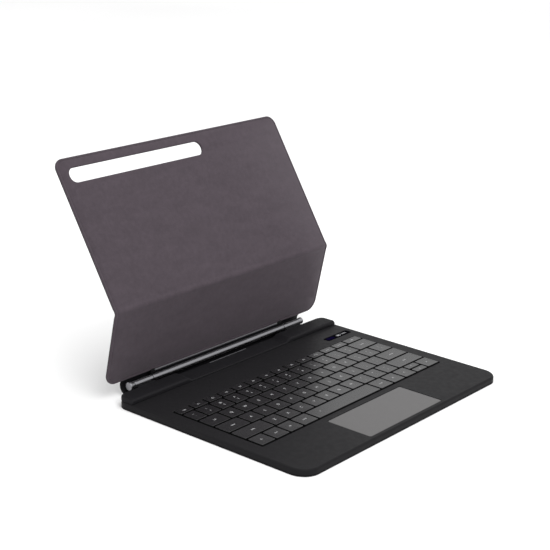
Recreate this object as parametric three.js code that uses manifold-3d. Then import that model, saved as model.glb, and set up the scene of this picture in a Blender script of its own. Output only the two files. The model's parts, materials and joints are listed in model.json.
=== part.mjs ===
// A tablet keyboard case: a thin keyboard deck, a friction hinge along its rear edge,
// and a back cover of two padded panels that fold along a crease and carry the tablet.
//
// Millimetres. X runs to the right along the key rows, Y to the rear and Z up.
// The origin is the centre of the deck's underside. The case stands open: the lower
// panel leans a little forward over the hinge and the upper panel leans back.

import * as THREE from "three";
import { mergeVertices } from "three/addons/utils/BufferGeometryUtils.js";
import Module from "manifold-3d";

const wasm = await Module();
wasm.setup();

// ---------------------------------------------------------------- driving dimensions

const FIT = 0.3; // clearance left between neighbouring pieces
const PAST = 1; // how far a cutting shape runs past the face it opens
const FAR = 200; // reach of a cutting block that takes away everything on one side

const DECK_WIDTH = 305;
const DECK_DEPTH = 222;
const DECK_FRONT_RADIUS = 17;
const DECK_REAR_RADIUS = 12;
const DECK_TOP = 6.6;
const DECK_WALL = 2.2;
const DECK_EDGE_ROUND = 1.6;
const SKIN = 0.9; // leather under the deck
const TRAY_TOP = 2;

// Heights between which each piece inside the deck lies.
const INSIDE = {
  plate: [2.4, 2.8],
  membrane: [3.1, 3.4],
  board: [2.4, 3.4],
  chips: [3.2, 4.4],
  cells: [2.4, 4.9],
  carrier: [2.4, 3],
  rail: [2.8, 4.5],
  padSwitch: [3.3, 4],
  plunger: [3.9, 4.3],
  displayBoard: [4, 4.9],
};
const TRAY_RIM = 4.6; // top of the tray's wall
const COVER_THICK = 1.2; // the deck's top cover, above its side walls
const CELL_AREA = { inner: 62, outer: 143, front: -101, rear: -62 };
const MAIN_BOARD = { half: 90, front: 61, rear: 86 };
const CHIPS = { spans: [[-60, -48], [-20, -8], [30, 36], [70, 84]], front: 68, rear: 78 };
const CABLE_HALF = 12; // half the width of the membrane's flat cable

const KEY_PITCH = 19;
const KEY_GAP = 2;
const KEY_TOP = 7.3;
const KEY_BOTTOM = 5.1;
const KEY_CORNER = 1;
const KEY_WEB = { width: 4, bottom: 4.8, top: 5.3 }; // bar that joins the keys of one bank
const ROW_UNITS = 14.4; // width of every key row, in key pitches
const ROW_FRONT = -51; // front of the bottom row
const FUNCTION_ROW_UNITS = 0.57; // depth of the function row, in key pitches

const PAD = { width: 112, depth: 47.7, front: -106, bottom: 4.9, top: 6.35, corner: 2 };
const DISPLAY = { x: 125.4, y: 68.7, width: 38, depth: 7.4, bottom: 5.4, top: 6.5, corner: 1.2 };
const PORT = { y: 83, z: 3.9, width: 8.9, height: 3.2, length: 8, wall: 0.3 };

const RIDGE_FRONT = 91;
const RIDGE_TOP = 11.2;
const RIDGE_END = 151; // outer end of the raised side blocks
const RIDGE_INNER = 74; // inner end of the side blocks, where the low ledge starts
const LEDGE_TOP = 8;
const RIDGE_WALL = 2;
const RIDGE_ROUND = 1.5;
const GROOVE = { front: 96, rear: 97, deep: 0.4 }; // line pressed into the ledge
const TRIM = { half: 27, front: 109.2, rear: 110, bottom: 7.5, top: 8.3 }; // bright strip in the ledge
const BRACKET = { inner: 98, outer: 121, bottom: 7.4, top: 8.8, reach: 3.6, thick: 0.9, lip: 0.4 };

const HINGE = { y: 119.5, z: 9.9 }; // axis that the cover turns on
const BARREL_RADIUS = 3.2;
const BARREL_HALF = 97; // half the length of the turning barrel
const KNUCKLE_END = 121.4;
const CAP_RADIUS = { left: 4.3, right: 3.5 }; // only the left cap flares
const CAP_END = 128;
const CAP_FLOOR = 3.4; // solid end of a cap, past its blind hole
const SHAFT_RADIUS = 1.2;
const BORE_RADIUS = 1.5;
const SPINE_HALF = 131;
const SPINE_LOWER = { inner: 7.9, outer: 9, from: -90, to: 5 }; // degrees from the rear, upwards
const SPINE_UPPER = { inner: 6.6, outer: 7.6, from: -87, to: 28 };

const PANEL_WIDTH = 308;
const PANEL_THICK = 2.8;
const PANEL_RIM = 1.3;
const PANEL_SKIN = 0.6;
const BOARD_THICK = 0.9;
const LOWER_LEAN = -10.66; // degrees from upright, positive to the rear
const UPPER_LEAN = 32.5;
const LOWER_OFFSET = 5.4; // hinge axis to the middle of the lower panel's thickness
const LOWER_START = 5.3; // hinge axis to the lower panel's bottom edge, along the panel
const FOLD_AT = 80.4; // hinge axis to the fold, along the panel
const FOLD_HALF_GAP = 1.2;
const BEAD_RADIUS = 0.75;
const UPPER_LENGTH = 149.9; // fold to the free edge
const SLOT = { left: -142, right: 34, low: 125.1, high: 139.5 }; // camera and pen slot

// ---------------------------------------------------------------- materials

const material = (color, roughness, metalness = 0) =>
  new THREE.MeshStandardMaterial({ color, roughness, metalness });

const LEATHER = material(0x2c2b2e, 0.7);
const DECK_FINISH = material(0x323236, 0.6);
const SUEDE = material(0x585054, 0.95);
const KEYCAP = material(0x2b2b2e, 0.5);
const PAD_GLASS = material(0x5c5a5c, 0.35);
const DISPLAY_GLASS = material(0x08080a, 0.1);
const STEEL = material(0x9a9a9e, 0.35, 0.9);
const ALUMINIUM = material(0xa8a8ac, 0.4, 0.9);
const BLACK_PLASTIC = material(0x151517, 0.5);
const COATED_STEEL = material(0x1a1a1c, 0.5, 0.2);
const CIRCUIT = material(0x1d4a2c, 0.5);
const CELL = material(0x8a8f96, 0.4, 0.4);
const BOARD = material(0x6d6458, 0.9);

// ---------------------------------------------------------------- solids

// A closed geometry as a solid that can be joined and cut.
function solid(geometry) {
  const bare = geometry.clone();
  bare.deleteAttribute("normal");
  bare.deleteAttribute("uv");
  const merged = mergeVertices(bare, 1e-4);
  const vertProperties = merged.attributes.position.array;
  const triVerts = new Uint32Array(merged.index.array);
  return new wasm.Manifold(new wasm.Mesh({ numProp: 3, vertProperties, triVerts }));
}

// A named mesh of a solid, added to a group.
function addPiece(group, name, shape, finish) {
  const { vertProperties, triVerts } = shape.getMesh();
  const geometry = new THREE.BufferGeometry();
  geometry.setAttribute("position", new THREE.BufferAttribute(vertProperties, 3));
  geometry.setIndex(new THREE.BufferAttribute(triVerts, 1));
  geometry.computeVertexNormals();
  const mesh = new THREE.Mesh(geometry, finish);
  mesh.name = name;
  group.add(mesh);
}

// The box between two corners.
function box([x0, y0, z0], [x1, y1, z1]) {
  const geometry = new THREE.BoxGeometry(x1 - x0, y1 - y0, z1 - z0);
  geometry.translate((x0 + x1) / 2, (y0 + y1) / 2, (z0 + z1) / 2);
  return solid(geometry);
}

// A rectangle's outline, with one radius at each corner: front left, front right,
// rear right, rear left.
function outline(x0, x1, y0, y1, radii) {
  const [a, b, c, d] = radii;
  const shape = new THREE.Shape();
  shape.moveTo(x0 + a, y0);
  shape.lineTo(x1 - b, y0);
  shape.absarc(x1 - b, y0 + b, b, -Math.PI / 2, 0);
  shape.lineTo(x1, y1 - c);
  shape.absarc(x1 - c, y1 - c, c, 0, Math.PI / 2);
  shape.lineTo(x0 + d, y1);
  shape.absarc(x0 + d, y1 - d, d, Math.PI / 2, Math.PI);
  shape.lineTo(x0, y0 + a);
  shape.absarc(x0 + a, y0 + a, a, Math.PI, 1.5 * Math.PI);
  return shape;
}

// An outline made thick between two heights, with its edges rounded if asked.
function slab(shape, z0, z1, { round = 0, roundSteps = 2, arcSteps = 6 } = {}) {
  const geometry = new THREE.ExtrudeGeometry(shape, {
    depth: z1 - z0 - 2 * round,
    curveSegments: arcSteps,
    bevelEnabled: round > 0,
    bevelSize: round,
    bevelOffset: -round,
    bevelThickness: round,
    bevelSegments: roundSteps,
  });
  geometry.translate(0, 0, z0 + round);
  return solid(geometry);
}

// A rod along X about a line at (y, z); with a bore it is a tube.
function rod(x0, x1, radius, { y = 0, z = 0, bore = 0, sides = 24 } = {}) {
  const cylinder = (r, length) => {
    const geometry = new THREE.CylinderGeometry(r, r, length, sides);
    geometry.rotateZ(Math.PI / 2);
    geometry.translate((x0 + x1) / 2, y, z);
    return solid(geometry);
  };
  const body = cylinder(radius, x1 - x0);
  return bore > 0 ? body.subtract(cylinder(bore, x1 - x0 + 2)) : body;
}

// A strip of a tube's wall along X, about the X axis, from one angle to another in
// degrees. Angle 0 points along the first cross axis (u) and 90 along the second (v).
// A tongue carries the strip straight on from its start, towards -u.
function shellArc(halfLength, { inner, outer, from: first, to: last }, tongue = 0) {
  const from = THREE.MathUtils.degToRad(first);
  const to = THREE.MathUtils.degToRad(last);
  const shape = new THREE.Shape();
  if (tongue > 0) {
    shape.moveTo(-tongue, -inner);
    shape.lineTo(-tongue, -outer);
    shape.lineTo(0, -outer);
  }
  shape.absarc(0, 0, outer, from, to, false);
  shape.absarc(0, 0, inner, to, from, true);
  const geometry = new THREE.ExtrudeGeometry(shape, {
    depth: 2 * halfLength,
    curveSegments: 12,
    bevelEnabled: false,
  });
  geometry.translate(0, 0, -halfLength);
  // (u, v, length) becomes (length, u, v).
  geometry.applyMatrix4(new THREE.Matrix4().set(0, 0, 1, 0, 1, 0, 0, 0, 0, 1, 0, 0, 0, 0, 0, 1));
  return solid(geometry);
}

const joinAll = (parts) => parts.reduce((whole, part) => whole.add(part));
const cutAll = (whole, cuts) => cuts.reduce((rest, cut) => rest.subtract(cut), whole);
const repeat = (value, count) => Array(count).fill(value);

const sides = [
  ["left", -1],
  ["right", 1],
];

// A box mirrored to one side of the case: x0 and x1 are distances from the middle.
function sideBox(side, [x0, y0, z0], [x1, y1, z1]) {
  return box([Math.min(side * x0, side * x1), y0, z0], [Math.max(side * x0, side * x1), y1, z1]);
}

// ---------------------------------------------------------------- deck shells

const deckHalf = DECK_WIDTH / 2;
const deckFront = -DECK_DEPTH / 2;
const deckRear = DECK_DEPTH / 2;
const keyFieldHalf = (ROW_UNITS * KEY_PITCH) / 2;
const keyFieldRear = ROW_FRONT + (5 + FUNCTION_ROW_UNITS) * KEY_PITCH;

// The deck's outline, drawn in from its edge by inset.
function deckOutline(inset) {
  const front = DECK_FRONT_RADIUS - inset;
  const rear = DECK_REAR_RADIUS - inset;
  return outline(
    -deckHalf + inset,
    deckHalf - inset,
    deckFront + inset,
    deckRear - inset,
    [front, front, rear, rear],
  );
}

function bottomSkin() {
  return slab(deckOutline(0), 0, SKIN);
}

function baseTray() {
  const inset = DECK_WALL + FIT;
  const tray = slab(deckOutline(inset), SKIN + FIT, TRAY_RIM);
  const pocket = slab(deckOutline(inset + 1), TRAY_TOP, TRAY_RIM + PAST);
  const portGap = box(
    [deckHalf - PORT.length - 4.5, PORT.y - 6, TRAY_TOP],
    [deckHalf, PORT.y + 6, TRAY_RIM + PAST],
  );
  return cutAll(tray, [pocket, portGap]);
}

function topCover() {
  const edge = { round: DECK_EDGE_ROUND, roundSteps: 3 };
  const outer = slab(deckOutline(0), -DECK_TOP, DECK_TOP, edge);
  const below = box([-FAR, -FAR, -FAR], [FAR, FAR, SKIN + FIT]);
  const inside = slab(deckOutline(DECK_WALL), 0, DECK_TOP - COVER_THICK);
  const above = DECK_TOP + PAST;
  const keyWindow = box(
    [-keyFieldHalf - FIT, ROW_FRONT - FIT, 0],
    [keyFieldHalf + FIT, keyFieldRear + FIT, above],
  );
  const padWindow = box(
    [-PAD.width / 2 - FIT, PAD.front - FIT, 0],
    [PAD.width / 2 + FIT, PAD.front + PAD.depth + FIT, above],
  );
  const displayOpening = slab(displayOutline(FIT), 0, above);
  const portHole = portBody(2 * FIT, deckHalf - PORT.length - PAST, deckHalf + PAST);
  return cutAll(outer, [below, inside, keyWindow, padWindow, displayOpening, portHole]);
}

// ---------------------------------------------------------------- inside the deck

// A flat box between two of the heights inside the deck.
function sheet([x0, y0], [x1, y1], [z0, z1]) {
  return box([x0, y0, z0], [x1, y1, z1]);
}

// A sheet under the keys, drawn in from the key field's edge by inset.
function keyFieldSheet(inset, heights) {
  return sheet(
    [-keyFieldHalf + inset, ROW_FRONT + inset],
    [keyFieldHalf - inset, keyFieldRear - inset],
    heights,
  );
}

function keyBackplate() {
  return keyFieldSheet(1, INSIDE.plate);
}

function switchMembrane() {
  const cable = sheet(
    [-CABLE_HALF, keyFieldRear - 3],
    [CABLE_HALF, keyFieldRear + 3],
    INSIDE.membrane,
  );
  return keyFieldSheet(2, INSIDE.membrane).add(cable);
}

function mainBoard() {
  const { half, front, rear } = MAIN_BOARD;
  const chips = CHIPS.spans.map(([x0, x1]) =>
    sheet([x0, CHIPS.front], [x1, CHIPS.rear], INSIDE.chips),
  );
  return joinAll([sheet([-half, front], [half, rear], INSIDE.board), ...chips]);
}

function battery(side) {
  const { inner, outer, front, rear } = CELL_AREA;
  const [z0, z1] = INSIDE.cells;
  return sideBox(side, [inner, front, z0], [outer, rear, z1]);
}

// ---------------------------------------------------------------- trackpad and display

function trackpadPlate() {
  const half = PAD.width / 2;
  const shape = outline(-half, half, PAD.front, PAD.front + PAD.depth, repeat(PAD.corner, 4));
  return slab(shape, PAD.bottom, PAD.top, { arcSteps: 3 });
}

function trackpadCarrier() {
  const half = PAD.width / 2 - 2;
  const rear = PAD.front + PAD.depth - 2;
  const plate = sheet([-half, PAD.front + 2], [half, rear], INSIDE.carrier);
  const rearRail = sheet([-half, rear - 3], [half, rear], INSIDE.rail);
  return plate.add(rearRail);
}

function trackpadSwitch() {
  const middle = PAD.front + 8;
  const body = sheet([-3, middle - 3], [3, middle + 3], INSIDE.padSwitch);
  return body.add(sheet([-1, middle - 1], [1, middle + 1], INSIDE.plunger));
}

function displayOutline(grow) {
  const halfWidth = DISPLAY.width / 2 + grow;
  const halfDepth = DISPLAY.depth / 2 + grow;
  return outline(
    DISPLAY.x - halfWidth,
    DISPLAY.x + halfWidth,
    DISPLAY.y - halfDepth,
    DISPLAY.y + halfDepth,
    repeat(DISPLAY.corner, 4),
  );
}

function displayWindow() {
  return slab(displayOutline(0), DISPLAY.bottom, DISPLAY.top, { arcSteps: 3 });
}

function displayBoard() {
  const halfWidth = DISPLAY.width / 2 + 1;
  const halfDepth = DISPLAY.depth / 2 + 1.3;
  return sheet(
    [DISPLAY.x - halfWidth, DISPLAY.y - halfDepth],
    [DISPLAY.x + halfWidth, DISPLAY.y + halfDepth],
    INSIDE.displayBoard,
  );
}

// A rod of the charging socket's section along X, grown by grow all round.
function portBody(grow, x0, x1) {
  const radius = PORT.height / 2 + grow;
  const reach = PORT.width / 2 - PORT.height / 2;
  const ends = [-reach, reach].map((dy) =>
    rod(x0, x1, radius, { y: PORT.y + dy, z: PORT.z, sides: 16 }),
  );
  const middle = box(
    [x0, PORT.y - reach, PORT.z - radius],
    [x1, PORT.y + reach, PORT.z + radius],
  );
  return joinAll([...ends, middle]);
}

function chargingSocket() {
  const mouth = deckHalf - FIT;
  const back = mouth - PORT.length;
  const hollow = portBody(-PORT.wall, back + 1, mouth + PAST);
  const shell = portBody(0, back, mouth).subtract(hollow);
  const tongue = box([back, PORT.y - 3, PORT.z - 0.35], [mouth - 1, PORT.y + 3, PORT.z + 0.35]);
  return shell.add(tongue);
}

// ---------------------------------------------------------------- keys

// Key widths in pitches, left to right. A bank is a run of keys that share one node.
const ROWS = [
  {
    row: 0,
    banks: [
      ["left_modifier_keys", [1.03, 1.02, 1.02, 1.12]],
      ["spacebar", [5.02]],
      ["right_modifier_keys", [1.1, 1.02]],
      ["arrow_left_key", [1.02]],
      ["arrow_up_down", [1.01]],
      ["arrow_right_key", [1.04]],
    ],
  },
  {
    row: 1,
    banks: [
      ["left_shift_key", [2.15]],
      ["bottom_letter_keys", repeat(1, 10)],
      ["right_shift_key", [2.25]],
    ],
  },
  {
    row: 2,
    banks: [
      ["caps_lock_key", [1.63]],
      ["home_letter_keys", repeat(1, 11)],
      ["return_key", [1.77]],
    ],
  },
  {
    row: 3,
    banks: [
      ["tab_key", [1.36]],
      ["top_letter_keys", repeat(1, 12)],
      ["backslash_key", [1.04]],
    ],
  },
  {
    row: 4,
    banks: [
      ["number_keys", [0.84, ...repeat(1, 12)]],
      ["backspace_key", [1.56]],
    ],
  },
  { row: 5, depth: FUNCTION_ROW_UNITS, banks: [["function_keys", [...repeat(1.01, 13), 1.27]]] },
];

// One key cap: a flat block with cut corners.
function keyCap(x0, x1, y0, y1) {
  const shape = new THREE.Shape();
  const c = KEY_CORNER;
  shape.moveTo(x0 + c, y0);
  shape.lineTo(x1 - c, y0);
  shape.lineTo(x1, y0 + c);
  shape.lineTo(x1, y1 - c);
  shape.lineTo(x1 - c, y1);
  shape.lineTo(x0 + c, y1);
  shape.lineTo(x0, y1 - c);
  shape.lineTo(x0, y0 + c);
  return slab(shape, KEY_BOTTOM, KEY_TOP);
}

// The keys of one bank, joined under their caps by a bar where there are several.
function keyBank(left, widths, front, rear) {
  const caps = [];
  let x = left;
  for (const width of widths) {
    const next = x + width * KEY_PITCH;
    caps.push(keyCap(x + KEY_GAP / 2, next - KEY_GAP / 2, front, rear));
    x = next;
  }
  if (caps.length === 1) return caps[0];
  const middle = (front + rear) / 2;
  const half = KEY_WEB.width / 2;
  const bar = box([left + 4, middle - half, KEY_WEB.bottom], [x - 4, middle + half, KEY_WEB.top]);
  return joinAll([bar, ...caps]);
}

function addKeys(group) {
  for (const { row, depth = 1, banks } of ROWS) {
    const front = ROW_FRONT + row * KEY_PITCH + KEY_GAP / 2;
    const rear = ROW_FRONT + (row + depth) * KEY_PITCH - KEY_GAP / 2;
    let left = -keyFieldHalf;
    for (const [name, widths] of banks) {
      const width = widths.reduce((sum, w) => sum + w, 0) * KEY_PITCH;
      if (name === "arrow_up_down") {
        const middle = (front + rear) / 2;
        const down = keyBank(left, widths, front, middle - KEY_GAP / 2);
        const up = keyBank(left, widths, middle + KEY_GAP / 2, rear);
        addPiece(group, "arrow_down_key", down, KEYCAP);
        addPiece(group, "arrow_up_key", up, KEYCAP);
      } else {
        addPiece(group, name, keyBank(left, widths, front, rear), KEYCAP);
      }
      left += width;
    }
  }
}

// ---------------------------------------------------------------- rear ridge

// A raised side block: a hollow shell over the bracket, with a slot that the bracket leaves by.
function ridgeBlock(side) {
  const x0 = Math.min(side * RIDGE_INNER, side * RIDGE_END);
  const x1 = Math.max(side * RIDGE_INNER, side * RIDGE_END);
  const rearRadii = side < 0 ? [2, 11] : [11, 2];
  const shape = outline(x0, x1, RIDGE_FRONT, deckRear, [2, 2, ...rearRadii]);
  const base = DECK_TOP + FIT;
  const block = slab(shape, 0, RIDGE_TOP, { round: RIDGE_ROUND, roundSteps: 3 });
  const below = box([-FAR, -FAR, -FAR], [FAR, FAR, base]);
  const inside = sideBox(
    side,
    [RIDGE_INNER + RIDGE_WALL, RIDGE_FRONT + RIDGE_WALL, 0],
    [RIDGE_END - 10, deckRear - RIDGE_WALL, RIDGE_TOP - 1.6],
  );
  const bracketSlot = sideBox(
    side,
    [BRACKET.inner - FIT, deckRear - RIDGE_WALL - PAST, 0],
    [BRACKET.outer + FIT, deckRear + PAST, BRACKET.top + FIT],
  );
  return cutAll(block, [below, inside, bracketSlot]);
}

function ridgeLedge() {
  const half = RIDGE_INNER - FIT;
  const base = DECK_TOP + FIT;
  const plate = box([-half, RIDGE_FRONT, base], [half, deckRear, LEDGE_TOP]);
  const groove = box(
    [-half - PAST, GROOVE.front, LEDGE_TOP - GROOVE.deep],
    [half + PAST, GROOVE.rear, LEDGE_TOP + PAST],
  );
  const trimRecess = box(
    [-TRIM.half - FIT, TRIM.front - FIT, TRIM.bottom - FIT],
    [TRIM.half + FIT, TRIM.rear + FIT, LEDGE_TOP + PAST],
  );
  return cutAll(plate, [groove, trimRecess]);
}

function ledgeTrim() {
  return box([-TRIM.half, TRIM.front, TRIM.bottom], [TRIM.half, TRIM.rear, TRIM.top]);
}

// ---------------------------------------------------------------- hinge, deck side

const axisAt = { y: HINGE.y, z: HINGE.z };

function hingeBracket(side) {
  const rear = HINGE.y - BRACKET.reach;
  const plate = sideBox(
    side,
    [BRACKET.inner, RIDGE_FRONT + RIDGE_WALL + 1, BRACKET.bottom],
    [BRACKET.outer, rear, BRACKET.top],
  );
  const flange = sideBox(
    side,
    [BRACKET.inner, rear - BRACKET.thick, BRACKET.bottom],
    [BRACKET.outer, rear, BRACKET.top + BRACKET.lip],
  );
  return plate.add(flange);
}

function hingeShaft() {
  const end = CAP_END - CAP_FLOOR - 0.4;
  return rod(-end, end, SHAFT_RADIUS, { ...axisAt, sides: 16 });
}

function hingeKnuckle(side) {
  const near = side * (BARREL_HALF + 0.5);
  const far = side * KNUCKLE_END;
  return rod(Math.min(near, far), Math.max(near, far), BARREL_RADIUS, {
    ...axisAt,
    bore: BORE_RADIUS,
  });
}

// A round end cap: a disc that tapers to the knuckle, with a blind hole for the shaft.
function hingeCap(side, radius) {
  const near = KNUCKLE_END + FIT;
  const boreEnd = CAP_END - CAP_FLOOR;
  const profile = [
    [0, CAP_END],
    [radius - 0.6, CAP_END],
    [radius, CAP_END - 0.6],
    [radius, CAP_END - 2.2],
    [BARREL_RADIUS, near],
    [BORE_RADIUS, near],
    [BORE_RADIUS, boreEnd],
    [0, boreEnd],
  ].map(([r, x]) => new THREE.Vector2(r, x));
  const geometry = new THREE.LatheGeometry(profile.reverse(), 24);
  geometry.rotateZ(-side * Math.PI / 2);
  geometry.translate(0, HINGE.y, HINGE.z);
  return solid(geometry);
}

// The leather that runs from under the deck up round the back of the hinge.
function spineLower() {
  const tongue = HINGE.y - deckRear - FIT;
  return shellArc(SPINE_HALF, SPINE_LOWER, tongue).translate([0, HINGE.y, HINGE.z]);
}

// ---------------------------------------------------------------- lower panel

// Inside a panel's group, X is the case's X, Y runs up the panel and Z points out of
// its suede face. The lower panel's group has its origin on the hinge axis.
const lowerMiddle = -LOWER_OFFSET;
const halfThick = PANEL_THICK / 2;
const panelHalf = PANEL_WIDTH / 2;

// Layer heights about the middle of a panel's thickness.
const LAYERS = {
  skin: [-halfThick, halfThick],
  board: [-halfThick + PANEL_SKIN + FIT, -halfThick + PANEL_SKIN + FIT + BOARD_THICK],
  lining: [halfThick - 0.7, halfThick],
};

const LEAF = { half: 95, foot: -2, step: 4.4, end: 15.6, back: -5.4, front: -4 };

// A panel's outline, drawn in by inset: small radii at the fold, large at the free edge.
function panelOutline(y0, y1, inset, [lowRadius, highRadius]) {
  const low = Math.max(lowRadius - inset, 0.4);
  const high = Math.max(highRadius - inset, 0.4);
  return outline(
    -panelHalf + inset,
    panelHalf - inset,
    y0 + inset,
    y1 - inset,
    [low, low, high, high],
  );
}

// One layer of a panel, between two of the heights above.
function layer(shape, [z0, z1], middle, options) {
  return slab(shape, middle + z0, middle + z1, options);
}

const lowerEnd = FOLD_AT - FOLD_HALF_GAP;
const LOWER_RADII = [12, 1];

function lowerOuterSkin() {
  const [, top] = LAYERS.skin;
  const edge = panelOutline(LOWER_START, lowerEnd, 0, LOWER_RADII);
  const hollow = panelOutline(LOWER_START, lowerEnd, PANEL_RIM, LOWER_RADII);
  const shell = layer(edge, LAYERS.skin, lowerMiddle, { round: 0.5, roundSteps: 1 });
  const pocket = layer(hollow, [-halfThick + PANEL_SKIN, top + PAST], lowerMiddle);
  const leafGap = box(
    [-LEAF.half - FIT, LOWER_START - PAST, lowerMiddle + LAYERS.board[0] - FIT],
    [LEAF.half + FIT, LOWER_START + PANEL_RIM + PAST, lowerMiddle + LAYERS.board[1] + FIT],
  );
  return cutAll(shell, [pocket, leafGap]);
}

function lowerBoard() {
  const inset = PANEL_RIM + FIT;
  return layer(
    panelOutline(LEAF.end + FIT - inset, lowerEnd, inset, [1, 1]),
    LAYERS.board,
    lowerMiddle,
  );
}

function lowerLining() {
  const inset = PANEL_RIM + FIT;
  return layer(
    panelOutline(LOWER_START, lowerEnd, inset, LOWER_RADII),
    LAYERS.lining,
    lowerMiddle,
  );
}

// ---------------------------------------------------------------- hinge, cover side

function hingeBarrel() {
  return rod(-BARREL_HALF, BARREL_HALF, BARREL_RADIUS, { bore: BORE_RADIUS });
}

// The plate that carries the panel: a foot behind the barrel and a tab inside the panel.
function hingeLeaf() {
  const foot = box([-LEAF.half, LEAF.foot, LEAF.back], [LEAF.half, LEAF.step, LEAF.front]);
  const tab = box(
    [-LEAF.half, LEAF.step - 0.4, lowerMiddle + LAYERS.board[0]],
    [LEAF.half, LEAF.end, lowerMiddle + LAYERS.board[1]],
  );
  return foot.add(tab);
}

// The bright bar along the foot of the suede, and a dark clip at each end of it.
const BAR = { half: 91, low: 4.3, high: 6, back: -3.7, front: -2.8, corner: 0.8 };

function clampBar() {
  const shape = outline(-BAR.half, BAR.half, BAR.low, BAR.high, repeat(BAR.corner, 4));
  return slab(shape, BAR.back, BAR.front, { arcSteps: 2 });
}

function barClip(side) {
  const near = side * (BAR.half + FIT);
  const far = side * (BARREL_HALF - 0.2);
  const [x0, x1] = [Math.min(near, far), Math.max(near, far)];
  const shape = outline(x0, x1, BAR.low - 0.4, BAR.high + 1, repeat(1, 4));
  return slab(shape, BAR.back, BAR.front + 0.3, { arcSteps: 2 });
}

// The part of the spine leather that turns with the cover. It slides inside the part
// fixed to the deck. In this group the rear of the panel is -Z, so the strip is made
// about the axis with u to the rear and v up the panel, and turned to suit.
function spineUpper() {
  return shellArc(SPINE_HALF, SPINE_UPPER).rotate([-90, 0, 0]);
}

// ---------------------------------------------------------------- fold and upper panel

// A flexible bead along the fold, between the two panels.
function foldBead() {
  return rod(-panelHalf + 0.5, panelHalf - 0.5, BEAD_RADIUS, {
    y: FOLD_AT,
    z: lowerMiddle,
    sides: 12,
  });
}

const UPPER_RADII = [1, 10];
const MAGNET = { inner: 96, outer: 110, low: 30, high: 106 };

function slotOutline(grow) {
  const y0 = SLOT.low - grow;
  const y1 = SLOT.high + grow;
  const radius = (y1 - y0) / 2 - 0.01; // round ends, with a sliver of straight between arcs
  return outline(SLOT.left - grow, SLOT.right + grow, y0, y1, repeat(radius, 4));
}

// The block that cuts the slot through a layer, with grow more all round.
function slotCut(grow) {
  return slab(slotOutline(grow), -PANEL_THICK, PANEL_THICK);
}

function upperOuterSkin() {
  const edge = panelOutline(FOLD_HALF_GAP, UPPER_LENGTH, 0, UPPER_RADII);
  const hollow = panelOutline(FOLD_HALF_GAP, UPPER_LENGTH, PANEL_RIM, UPPER_RADII);
  const shell = layer(edge, LAYERS.skin, 0, { round: 0.5, roundSteps: 1 });
  const pocket = layer(hollow, [-halfThick + PANEL_SKIN, halfThick + PAST], 0);
  const collar = slab(slotOutline(PANEL_RIM), -halfThick, halfThick);
  return shell.subtract(pocket).add(collar).subtract(slotCut(0));
}

function upperBoard() {
  const inset = PANEL_RIM + FIT;
  const shape = panelOutline(FOLD_HALF_GAP, UPPER_LENGTH, inset, UPPER_RADII);
  const windows = sides.map(([, side]) =>
    sideBox(
      side,
      [MAGNET.inner - FIT, MAGNET.low - FIT, -PANEL_THICK],
      [MAGNET.outer + FIT, MAGNET.high + FIT, PANEL_THICK],
    ),
  );
  return cutAll(layer(shape, LAYERS.board, 0), [slotCut(inset), ...windows]);
}

function upperLining() {
  const inset = PANEL_RIM + FIT;
  const shape = panelOutline(FOLD_HALF_GAP, UPPER_LENGTH, inset, UPPER_RADII);
  return layer(shape, LAYERS.lining, 0).subtract(slotCut(inset));
}

function holdingMagnet(side) {
  const [z0, z1] = LAYERS.board;
  return sideBox(side, [MAGNET.inner, MAGNET.low, z0], [MAGNET.outer, MAGNET.high, z1]);
}

// ---------------------------------------------------------------- assembly

const keyboardCase = new THREE.Group();

// The rotation about X that stands a panel's Y axis at a lean from upright.
const tiltFor = (lean) => THREE.MathUtils.degToRad(90 - lean);

addPiece(keyboardCase, "bottom_skin", bottomSkin(), LEATHER);
addPiece(keyboardCase, "base_tray", baseTray(), BLACK_PLASTIC);
addPiece(keyboardCase, "top_cover", topCover(), DECK_FINISH);
addPiece(keyboardCase, "key_backplate", keyBackplate(), STEEL);
addPiece(keyboardCase, "switch_membrane", switchMembrane(), BLACK_PLASTIC);
addPiece(keyboardCase, "main_board", mainBoard(), CIRCUIT);
addPiece(keyboardCase, "trackpad_plate", trackpadPlate(), PAD_GLASS);
addPiece(keyboardCase, "trackpad_carrier", trackpadCarrier(), STEEL);
addPiece(keyboardCase, "trackpad_switch", trackpadSwitch(), BLACK_PLASTIC);
addPiece(keyboardCase, "display_window", displayWindow(), DISPLAY_GLASS);
addPiece(keyboardCase, "display_board", displayBoard(), CIRCUIT);
addPiece(keyboardCase, "charging_socket", chargingSocket(), STEEL);
addKeys(keyboardCase);

addPiece(keyboardCase, "ridge_ledge", ridgeLedge(), LEATHER);
addPiece(keyboardCase, "ledge_trim", ledgeTrim(), ALUMINIUM);
addPiece(keyboardCase, "hinge_shaft", hingeShaft(), STEEL);
addPiece(keyboardCase, "spine_lower", spineLower(), LEATHER);
for (const [name, side] of sides) {
  addPiece(keyboardCase, "battery_" + name, battery(side), CELL);
  addPiece(keyboardCase, "ridge_block_" + name, ridgeBlock(side), LEATHER);
  addPiece(keyboardCase, "hinge_bracket_" + name, hingeBracket(side), COATED_STEEL);
  addPiece(keyboardCase, "hinge_knuckle_" + name, hingeKnuckle(side), ALUMINIUM);
  addPiece(keyboardCase, "hinge_cap_" + name, hingeCap(side, CAP_RADIUS[name]), ALUMINIUM);
}

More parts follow.
